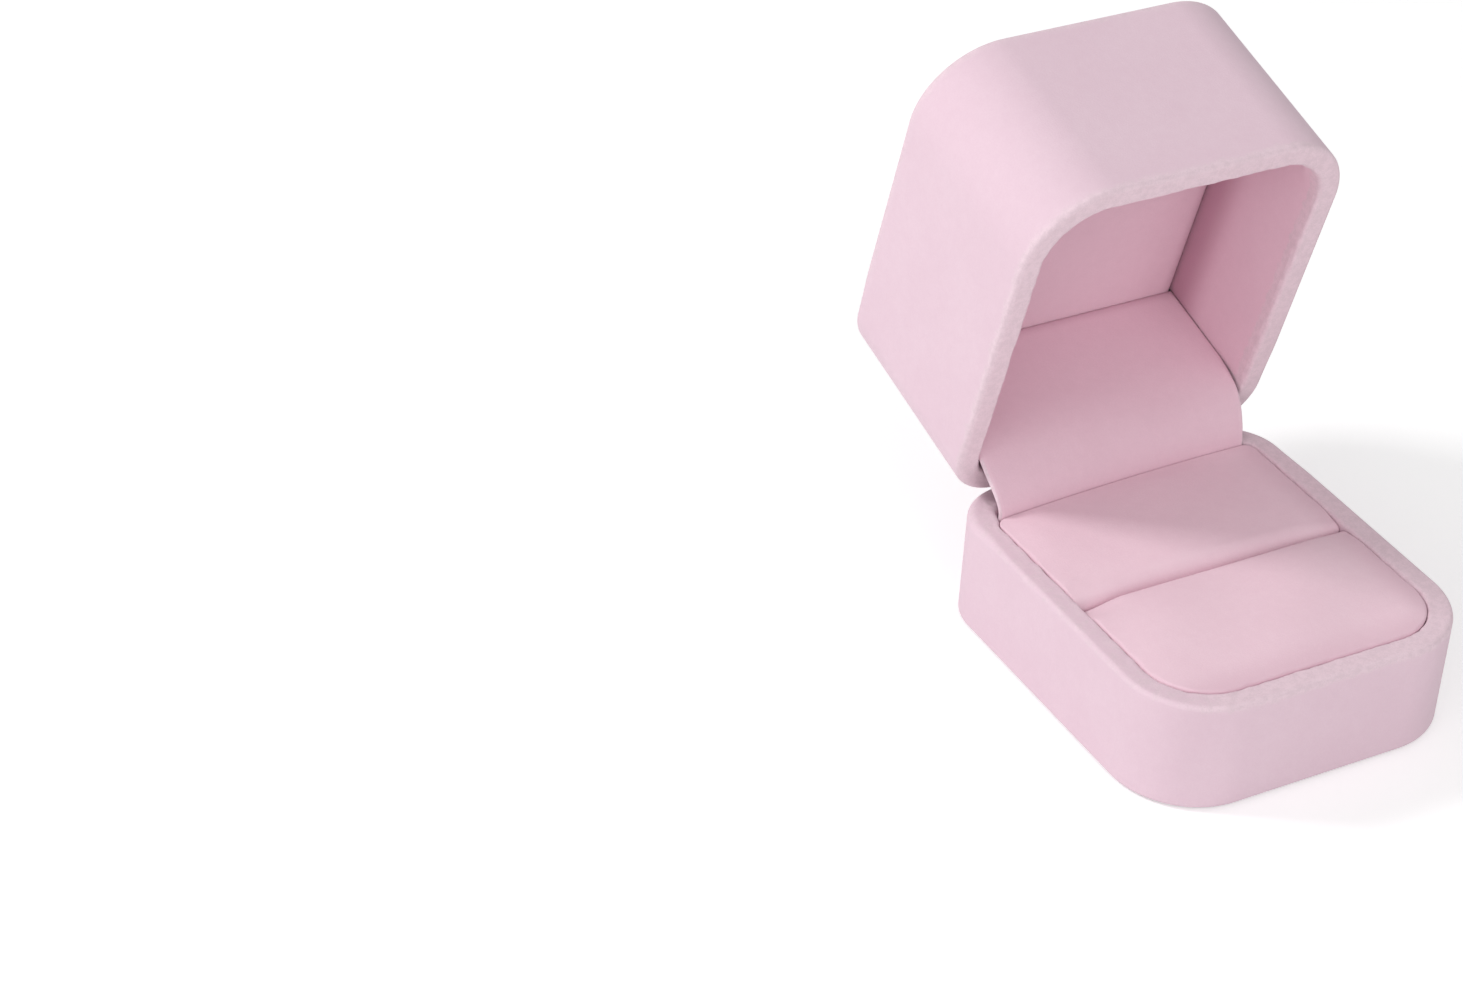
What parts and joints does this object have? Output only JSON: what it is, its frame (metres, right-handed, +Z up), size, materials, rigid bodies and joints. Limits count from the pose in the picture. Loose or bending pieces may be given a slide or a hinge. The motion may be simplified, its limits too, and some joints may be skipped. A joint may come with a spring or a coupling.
{
  "type": "ring box",
  "caption": "Velvet-covered ring box with rounded corners, a padded ring cushion with a slot, and a deep lined lid on a hidden pin hinge, shown open.",
  "frame": {"origin": "middle of the underside of the base, on the table", "axes": "+X to the right seen from the front, front at -Y, hinge at +Y, +Z up"},
  "size_m": [0.055, 0.0926, 0.0853],
  "materials": {
    "velvet_outer": "pale pink short-pile velvet",
    "velvet_inner": "pale pink short-pile velvet lining",
    "velvet_cushion": "pale pink short-pile velvet over foam",
    "felt": "flat felt paper",
    "foam": "open-cell foam",
    "card": "plain grey board",
    "shell_plastic": "moulded, matt",
    "hinge_steel": "plain stamped steel"
  },
  "bodies": {
    "base": {"base_shell": "shell_plastic", "base_wrap": "velvet_outer", "foot_sheet": "felt", "cushion_board": "card", "front_foam": "foam", "front_cushion_cover": "velvet_cushion", "rear_foam": "foam", "rear_cushion_cover": "velvet_cushion", "hinge_base_leaf": "hinge_steel", "hinge_spring": "hinge_steel", "hinge_pin": "hinge_steel", "base_hinge_rivets": "hinge_steel", "hinge_back_strip": "velvet_outer"},
    "lid": {"lid_shell": "shell_plastic", "lid_wrap": "velvet_outer", "lid_ceiling_board": "card", "lid_ceiling_foam": "foam", "lid_ceiling_cover": "velvet_inner", "lid_wall_board": "card", "lid_wall_lining": "velvet_inner", "lid_back_board": "card", "lid_top_board": "card", "lid_top_foam": "foam", "lid_top_cover": "velvet_outer", "hinge_lid_leaf": "hinge_steel", "lid_hinge_rivets": "hinge_steel", "hinge_flap": "velvet_inner"}
  },
  "joints": [
    {"name": "lid_hinge", "type": "hinge", "parent": "base", "child": "lid", "pos_m": [0, 0.0297, 0.0186], "axis": [1, 0, 0], "range_deg": [0, 75], "deforming": ["hinge_back_strip", "hinge_flap"]}
  ]
}
